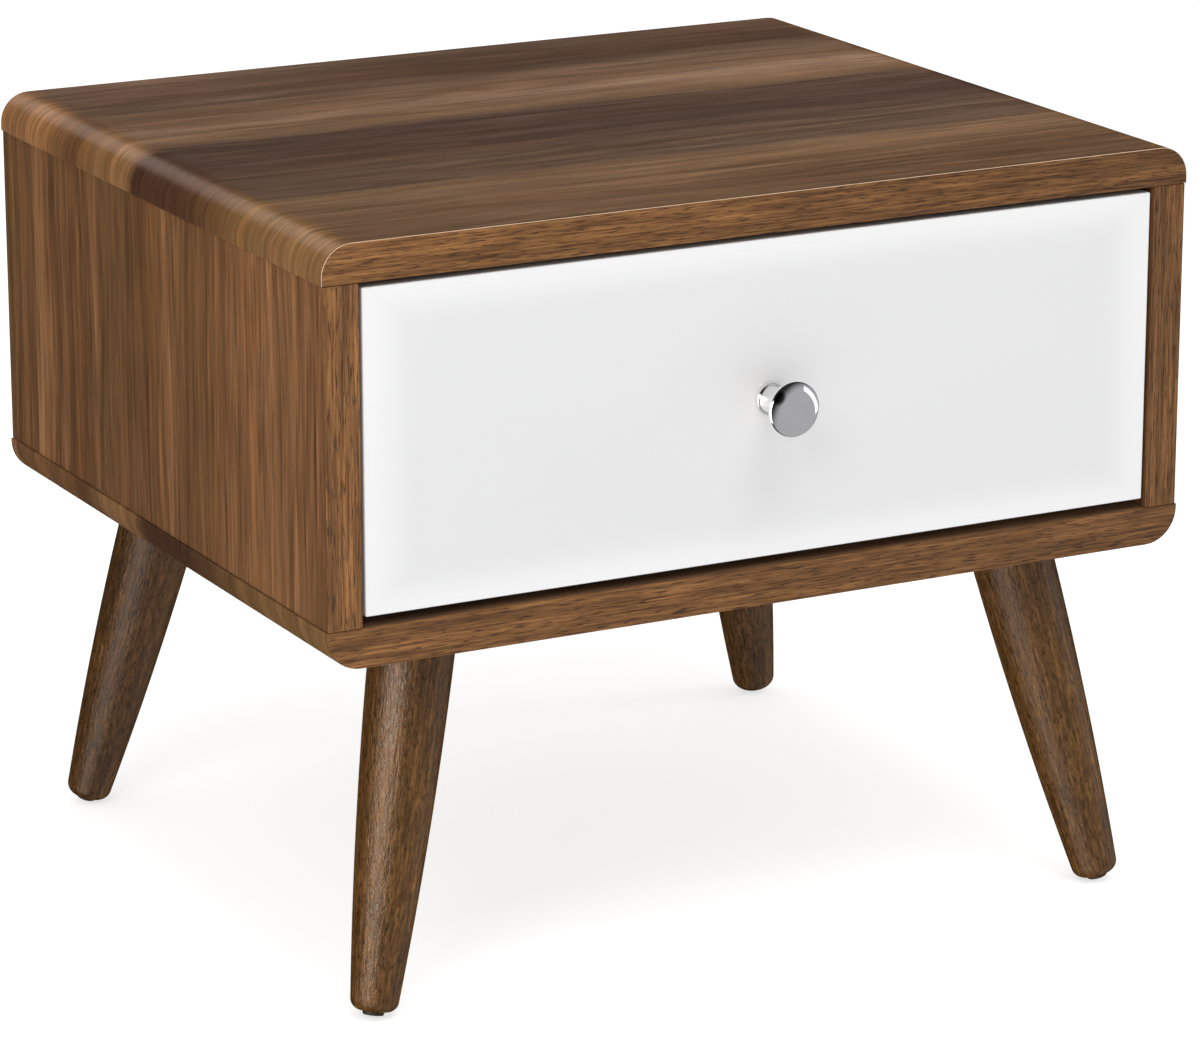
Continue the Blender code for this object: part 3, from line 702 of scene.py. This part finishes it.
def leg_piece(end, side):
    """A turned leg about its own axis, so that the grain follows it."""
    node = f"leg_{end}_{side}"
    direction = Vector((SIDES[side] * SPLAY_X, ENDS[end] * SPLAY_Y, -1))
    stretch = direction.length
    direction.normalize()
    lean = math.acos(-direction.z)
    turn = Vector((0, 0, -1)).rotation_difference(direction)
    place = Vector((SIDES[side] * LEG_X, MIDDLE_Y + ENDS[end] * LEG_Y, UNDERSIDE_Z))
    seat = (BLOCK_THINNEST + BLOCK_RADIUS * math.tan(lean)) * stretch
    sole = (SEAT_GAP + GLIDE_THICKNESS) * math.cos(lean) + GLIDE_RADIUS * math.sin(lean)
    top = -seat - SEAT_GAP
    foot = -(UNDERSIDE_Z - sole + GLIDE_WEAR) * stretch
    length = top - foot
    chamfer = 0.0008
    profile = [(0, top - BOLT_IN_LEG), (BOLT_BORE, top - BOLT_IN_LEG), (BOLT_BORE, top)]
    profile += arc((leg_radius(0) - chamfer, top - chamfer), chamfer, 90, 0, 3)
    last = 1 - FOOT_ROUND / length
    steps = 40
    for step in range(1, steps + 1):
        share = last * step / steps
        profile.append((leg_radius(share), top - share * length))
    foot_radius = leg_radius(last)
    profile += arc((foot_radius - FOOT_ROUND, foot + FOOT_ROUND), FOOT_ROUND, 0, -90, 10)[1:]
    profile.append((0, foot))
    matrix = Matrix.Translation(place) @ turn.to_matrix().to_4x4()
    # Each leg takes its end's look, so the back legs carry painted shade.
    new_piece(f"turned_leg_{end}_{side}", turned(profile, 96), node, [f"stained_{end}"], 40, matrix)


def knob_profile():
    """Foot ring, waisted neck and broad domed head, as heights from the drawer's face."""
    head_radius = 0.014
    head_low = 0.0215
    reach = 0.028
    rim = 0.0016
    foot_radius = 0.008
    foot = 0.002
    ease = 0.0005
    neck, waist, flare = 0.0070, 0.0018, 0.0042
    bore, bore_depth = 0.0023, 0.013
    profile = [(0, bore_depth), (bore, bore_depth), (bore, SEAT_GAP), (foot_radius, SEAT_GAP)]
    profile += arc((foot_radius - ease, foot - ease), ease, 0, 90, 4)
    neck_end = foot + (head_low - foot) * 0.93
    steps = 24
    for step in range(steps + 1):
        share = step / steps
        radius = neck - waist * math.sin(math.pi * share**0.8) + flare * share**3
        profile.append((radius, foot + (neck_end - foot) * share))
    profile += arc((head_radius - rim, head_low + rim), rim, -90, 60, 16)
    edge_radius, edge_height = profile[-1]
    crown_steps = 24
    for step in range(1, crown_steps):
        share = step / crown_steps
        rise = (reach - edge_height) * (1 - (1 - share) ** 2.4)
        profile.append((edge_radius * (1 - share), edge_height + rise))
    profile.append((0, reach))
    return profile


def facing(place, direction):
    """The placement that turns local Z to a direction at a place."""
    turn = Vector((0, 0, 1)).rotation_difference(Vector(direction))
    return Matrix.Translation(place) @ turn.to_matrix().to_4x4()


def face_place(node, sign, axis):
    """The middle of a node's side that looks along an axis, by the sign."""
    low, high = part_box(node)
    place = (low + high) / 2
    place[axis] = high[axis] if sign > 0 else low[axis]
    return place


def press_cross(shape, arm, depth):
    """Closes the ring of 24 points at height 0 with a face that has a cross pressed into it."""
    rim = [vertex for vertex in shape.verts if vertex.is_boundary]
    rim.sort(key=lambda vertex: math.atan2(vertex.co.y, vertex.co.x) % math.tau)
    half = arm * math.tan(math.pi / 12)
    upper, lower = [], []
    for quarter in range(4):
        turn = Matrix.Rotation(quarter * math.pi / 2, 3, "Z")
        for x, y in ((arm, -half), (arm, half), (half, half)):
            corner = turn @ Vector((x, y, 0))
            upper.append(shape.verts.new(corner))
            lower.append(shape.verts.new((0.8 * corner.x, 0.8 * corner.y, -depth)))
    for step in range(12):
        after = (step + 1) % 12
        outer = [rim[(2 * step - 1 + count) % 24] for count in range(3)]
        shape.faces.new([upper[step], *outer, upper[after]])
        shape.faces.new((upper[step], upper[after], lower[after], lower[step]))
    shape.faces.new(lower)
    bmesh.ops.recalc_face_normals(shape, faces=shape.faces)
    return shape


def inward(node, sign):
    """The place of a fitting's head on a side panel, turned to face the middle."""
    return facing(face_place(node, -sign, 0), (-sign, 0, 0))


def cam_shape():
    """A cam lock: eased rim, a ring groove and a cross for the driver."""
    radius, depth, ease = 0.0075, 0.0095, 0.0006
    groove, groove_depth = 0.0056, 0.0003
    profile = [(0, -depth), (radius, -depth)]
    profile += arc((radius - ease, -ease), ease, 0, 90, 3)
    profile += [
        (groove + 0.0005, 0),
        (groove + 0.0003, -groove_depth),
        (groove - 0.0003, -groove_depth),
        (groove - 0.0005, 0),
    ]
    return press_cross(turned(profile, 24), 0.0036, 0.0025)


def screw_shape(node, axis, radius, head_radius, head_height):
    """A pan-head screw with a threaded shank, its head's top at 0."""
    low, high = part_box(node)
    length = high[axis] - low[axis]
    pitch, thread = 0.0011, 0.0003
    tip = 0.002
    profile = [(0, -length), (radius - thread, tip - length)]
    height = tip - length
    while height + pitch < -head_height:
        profile += [(radius, height + pitch * 0.45), (radius - thread, height + pitch * 0.9)]
        height += pitch
    profile += [(radius - thread, -head_height), (head_radius, -head_height)]
    face = head_radius * 0.62
    steps = 6
    for step in range(1, steps + 1):
        turn = math.pi / 2 * step / steps
        spread = face + (head_radius - face) * math.cos(turn)
        profile.append((spread, head_height * (math.sin(turn) - 1)))
    return press_cross(turned(profile, 24), face * 0.8, head_height * 0.75)


def pin_shape(node):
    """A roller's pin with a domed head, its top at 0."""
    low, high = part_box(node)
    length = high.x - low.x
    radius, head_radius, head = 0.0025, 0.0037, 0.0008
    profile = [(0, -length), (radius, -length), (radius, -head), (head_radius, -head)]
    steps = 8
    for step in range(1, steps + 1):
        turn = math.pi / 2 * step / steps
        profile.append((head_radius * math.cos(turn), head * (math.sin(turn) - 1)))
    profile[-1] = (0, 0)
    return turned(profile, 32)


def roller_shape():
    """A moulded roller: eased tread, and a sunk face between its hub and its rim."""
    bore, radius, half, ease = 0.0026, 0.0085, 0.00275, 0.0005
    sunk, hub, rim, slope = 0.0009, 0.0043, 0.0071, 0.0002
    near = [
        (bore, half - 0.0002),
        (bore + 0.0002, half),
        (hub, half),
        (hub + slope, half - sunk),
        (rim - slope, half - sunk),
        (rim, half),
    ]
    near += arc((radius - ease, half - ease), ease, 90, 0, 5)
    far = [(across, -height) for across, height in reversed(near)]
    shape = turned(near + far + near[:1], 48)
    bmesh.ops.remove_doubles(shape, verts=shape.verts, dist=1e-7)
    bmesh.ops.recalc_face_normals(shape, faces=shape.faces)
    return shape


# Boards and bands
refined(
    "top_panel",
    "top_board",
    ["top", "band_x"],
    EASED,
    band_the_back,
    eased=behind_joint,
)
refined(
    "bottom_panel",
    "bottom_board",
    ["bottom", "band_x"],
    EASED,
    band_the_back,
    eased=behind_joint,
)
for side in SIDES:
    refined(
        f"{side}_side_panel",
        f"{side}_side_board",
        [f"{side}_side", "band_z"],
        EASED,
        band_the_back,
        eased=behind_joint,
    )
    refined(
        f"{side}_edge_band",
        f"{side}_front_band",
        ["band_z"],
        EASED,
        close_band_gap,
        eased=in_front,
    )
# The top band's rounded edge gets the pale edge look: wear and a painted highlight.
refined(
    "top_edge_band",
    "top_front_band",
    ["band_x", "arris"],
    EASED,
    close_band_gap,
    eased=in_front,
    worn_and_highlit=rubbed,
)
refined(
    "bottom_edge_band", "bottom_front_band", ["band_x"], EASED, close_band_gap, eased=in_front
)
refined("back_panel", "back_board", ["hardboard"], 0.0002)

# Legs
for end in ENDS:
    for side in SIDES:
        leg_piece(end, side)
        refined(f"leg_block_{end}_{side}", f"wedge_block_{end}_{side}", ["stained_block"], 0)

# Drawer
refined("drawer_front", "lacquered_front", ["lacquer"], 0)
knob_place = face_place("knob", 1, 1)
knob_place.y = face_low.y
knob_place = facing(knob_place, (0, -1, 0))
new_piece("chrome_knob", turned(knob_profile(), 96), "knob", ["chrome"], 50, knob_place)
for part in ("left_side", "right_side", "back", "bottom"):
    refined(f"drawer_{part}", f"box_{part}", ["melamine"], EASED)

# Fittings
for side, sign in SIDES.items():
    for body in ("cabinet", "drawer"):
        refined(f"{body}_runner_{side}", f"{body}_channel_{side}", ["runner"], 0.0002)
    for end in ENDS:
        for height in ("bottom", "top"):
            node = f"cam_{side}_{end}_{height}"
            new_piece(f"lock_{node}", cam_shape(), node, ["zinc"], 40, inward(node, sign))
        node = f"runner_screw_{side}_{end}"
        screw = screw_shape(node, 0, 0.0017, 0.0035, 0.0014)
        new_piece(f"cross_{node}", screw, node, ["zinc"], 40, inward(node, sign))
    node = f"drawer_cam_{side}"
    new_piece(f"lock_{node}", cam_shape(), node, ["zinc"], 40, inward(node, sign))
    node = f"front_roller_pin_{side}"
    new_piece(f"domed_{node}", pin_shape(node), node, ["zinc"], 50, inward(node, sign))
    node = f"rear_roller_pin_{side}"
    new_piece(f"domed_{node}", pin_shape(node), node, ["zinc"], 50, inward(node, -sign))
    for end in ("front", "rear"):
        node = f"{end}_roller_{side}"
        low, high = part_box(node)
        place = facing((low + high) / 2, (1, 0, 0))
        new_piece(f"moulded_{node}", roller_shape(), node, ["nylon"], 40, place)
screw = screw_shape("knob_screw", 1, 0.0020, 0.0042, 0.0022)
place = facing(face_place("knob_screw", 1, 1), (0, 1, 0))
new_piece("cross_knob_screw", screw, "knob_screw", ["zinc"], 40, place)

# What stays as the CAD has it takes its look from its slot
for name, node in nodes.items():
    if not node.hide_render:
        node.data.materials.clear()
        node.data.materials.append(LOOKS[SLOT_LOOKS[NODE_SLOTS[name]]])


# ------------------------------------------------------------------- studio


FLOOR_REACH = 30.0
FLOOR_GAP = 0.0002  # the floor lies this far under the glides


def stage_floor():
    """A pale floor that shows from above, and lets the underside be seen from below."""
    mesh = bpy.data.meshes.new("studio_floor")
    far = FLOOR_REACH
    corners = [(-far, -far, 0), (far, -far, 0), (far, far, 0), (-far, far, 0)]
    mesh.from_pydata(corners, [], [(0, 1, 2, 3)])
    floor = bpy.data.objects.new("studio_floor", mesh)
    floor.location.z = -FLOOR_GAP
    bpy.context.scene.collection.objects.link(floor)
    look = Look("pale_floor")
    look.shade(Base_Color=(0.60, 0.60, 0.60, 1), Roughness=0.9, Specular_IOR_Level=0.0)
    look.shade(Emission_Color=(1, 1, 1, 1), Emission_Strength=0.66)
    clear = look.add("ShaderNodeBsdfTransparent")
    below = look.add("ShaderNodeNewGeometry").outputs["Backfacing"]
    one_sided = look.add("ShaderNodeMixShader")
    look.feed(one_sided.inputs[0], below)
    look.feed(one_sided.inputs[1], look.shader.outputs[0])
    look.feed(one_sided.inputs[2], clear.outputs[0])
    output = look.tree.nodes["Material Output"]
    look.feed(output.inputs["Surface"], one_sided.outputs[0])
    mesh.materials.append(look.material)
    floor.visible_glossy = False


ROOM_RADIUS = 12.0
# Where the room's lights lie, as directions from the object
ROOM_FRONT = Vector((0.55, -0.75, -0.38))
ROOM_DARK_SPOT = Vector((-0.30, -0.88, 0.36))
ROOM_WINDOW = Vector((-0.90, -0.44, 0.0))
ROOM_WINDOW_STRENGTH = 17.0
ROOM_GLOW = Vector((-0.06, 0.85, 0.52))
ROOM_ARC = Vector((0.946, -0.313, 0.070))
ROOM_ARC_POLE = Vector((-0.265, -0.760, -0.594))


def reflected_room():
    """A room that only glossy surfaces see: pale in front, and dim behind the object."""
    shape = bmesh.new()
    bmesh.ops.create_uvsphere(shape, u_segments=48, v_segments=24, radius=ROOM_RADIUS)
    mesh = bpy.data.meshes.new("reflected_room")
    shape.to_mesh(mesh)
    shape.free()
    room = bpy.data.objects.new("reflected_room", mesh)
    bpy.context.scene.collection.objects.link(room)
    for sight in ("camera", "diffuse", "transmission", "volume_scatter", "shadow"):
        setattr(room, f"visible_{sight}", False)
    look = Look("reflected_room")
    look.shade(Base_Color=(0, 0, 0, 1), Specular_IOR_Level=0.0)

    def share_of(direction):
        node = look.add("ShaderNodeVectorMath", operation="DOT_PRODUCT")
        look.feed(node.inputs[0], look.place)
        node.inputs[1].default_value = direction.normalized() / ROOM_RADIUS
        return node.outputs["Value"]

    def towards(direction, low, high):
        return look.step(share_of(direction), low, high)

    # A pale front with a dark spot, which the drawer front and the knob show
    pale = look.calc("MULTIPLY_ADD", towards(ROOM_FRONT, 0.35, 0.68), 0.385, 0.022)
    dark = look.calc("MULTIPLY_ADD", towards(ROOM_DARK_SPOT, 0.935, 0.985), -0.92, 1.0)
    # A tall window on the left, for the legs' highlights, dimmer below the horizon
    level = look.add("ShaderNodeVectorMath", operation="MULTIPLY")
    look.feed(level.inputs[0], look.place)
    level.inputs[1].default_value = (1, 1, 0)
    heading = look.add("ShaderNodeVectorMath", operation="NORMALIZE")
    look.feed(heading.inputs[0], level.outputs[0])
    window = look.add("ShaderNodeVectorMath", operation="DOT_PRODUCT")
    look.feed(window.inputs[0], heading.outputs[0])
    window.inputs[1].default_value = ROOM_WINDOW.normalized()
    height = look.calc("DIVIDE", look.axes()[2], ROOM_RADIUS)
    bright = look.product(
        look.step(window.outputs["Value"], 0.89, 0.99),
        look.step(height, -0.75, -0.60),
        look.step(height, 0.36, 0.24),
        look.calc("MULTIPLY_ADD", look.step(height, 0.0, 0.14), 0.83, 0.17),
    )
    # A glow behind, for the rounded ends, and an arc on the right, for the knob's rim
    glow = look.calc("MULTIPLY", towards(ROOM_GLOW, 0.95, 0.985), 1.25)
    beside = look.calc("ABSOLUTE", look.calc("ADD", share_of(ROOM_ARC_POLE), 0.03))
    arc_light = look.product(look.step(beside, 0.10, 0.07), towards(ROOM_ARC, 0.87, 0.90))
    glow = look.calc("MULTIPLY_ADD", arc_light, 1.1, glow)

    strength = look.calc("MULTIPLY_ADD", pale, dark, glow)
    strength = look.calc("MULTIPLY_ADD", bright, ROOM_WINDOW_STRENGTH, strength)
    hue = look.mix(bright, (0.98, 0.98, 1.0, 1), (1.0, 0.80, 0.60, 1))
    hue = look.mix(towards(ROOM_GLOW, 0.90, 0.95), hue, (1.0, 0.84, 0.76, 1))
    look.shade(Emission_Color=hue)
    look.shade(Emission_Strength=strength)
    look.material.cycles.emission_sampling = "NONE"
    mesh.materials.append(look.material)


def softbox(name, place, width, height, power):
    """An area light that looks at the middle of the object."""
    light = bpy.data.lights.new(name, "AREA")
    light.shape = "RECTANGLE"
    light.size = width
    light.size_y = height
    light.energy = power
    lamp = bpy.data.objects.new(name, light)
    aim = Vector((0, 0, 0.22)) - Vector(place)
    lamp.location = place
    lamp.rotation_euler = aim.to_track_quat("-Z", "Y").to_euler()
    lamp.visible_glossy = False
    bpy.context.scene.collection.objects.link(lamp)


def studio():
    world = bpy.data.worlds.new("studio")
    world.use_nodes = True
    world.node_tree.nodes["Background"].inputs["Color"].default_value = (1, 1, 1, 1)
    world.node_tree.nodes["Background"].inputs["Strength"].default_value = 0.64
    bpy.context.scene.world = world
    world.cycles_visibility.glossy = False
    stage_floor()
    reflected_room()
    softbox("key_left", (-1.5, -1.3, 1.7), 0.9, 1.2, 12)
    softbox("strip_right", (2.2, -0.4, 0.8), 0.5, 1.5, 8)
    softbox("overhead", (0.0, -0.9, 2.4), 1.4, 1.4, 24)
    bpy.context.scene.view_settings.view_transform = "Standard"


# The photo's viewing angle, from a fit to its edges
CAMERA_AZIMUTH = math.radians(-27.905)
CAMERA_ELEVATION = math.radians(16.188)
CAMERA_DISTANCE = 3.2268
CAMERA_AIM = Vector((0.2359, 0.4371, 0.0342))
CAMERA_LENS = 155.2


def camera():
    """The camera, looking at the aim from the photo's side."""
    azimuth, elevation = CAMERA_AZIMUTH, CAMERA_ELEVATION
    back = Vector(
        (
            math.sin(azimuth) * math.cos(elevation),
            -math.cos(azimuth) * math.cos(elevation),
            math.sin(elevation),
        )
    )
    data = bpy.data.cameras.new("camera")
    data.lens = CAMERA_LENS
    data.sensor_width = 36
    data.clip_end = 200
    eye = bpy.data.objects.new("camera", data)
    eye.location = CAMERA_AIM + back * CAMERA_DISTANCE
    eye.rotation_euler = (-back).to_track_quat("-Z", "Y").to_euler()
    bpy.context.scene.collection.objects.link(eye)
    bpy.context.scene.camera = eye


studio()
camera()
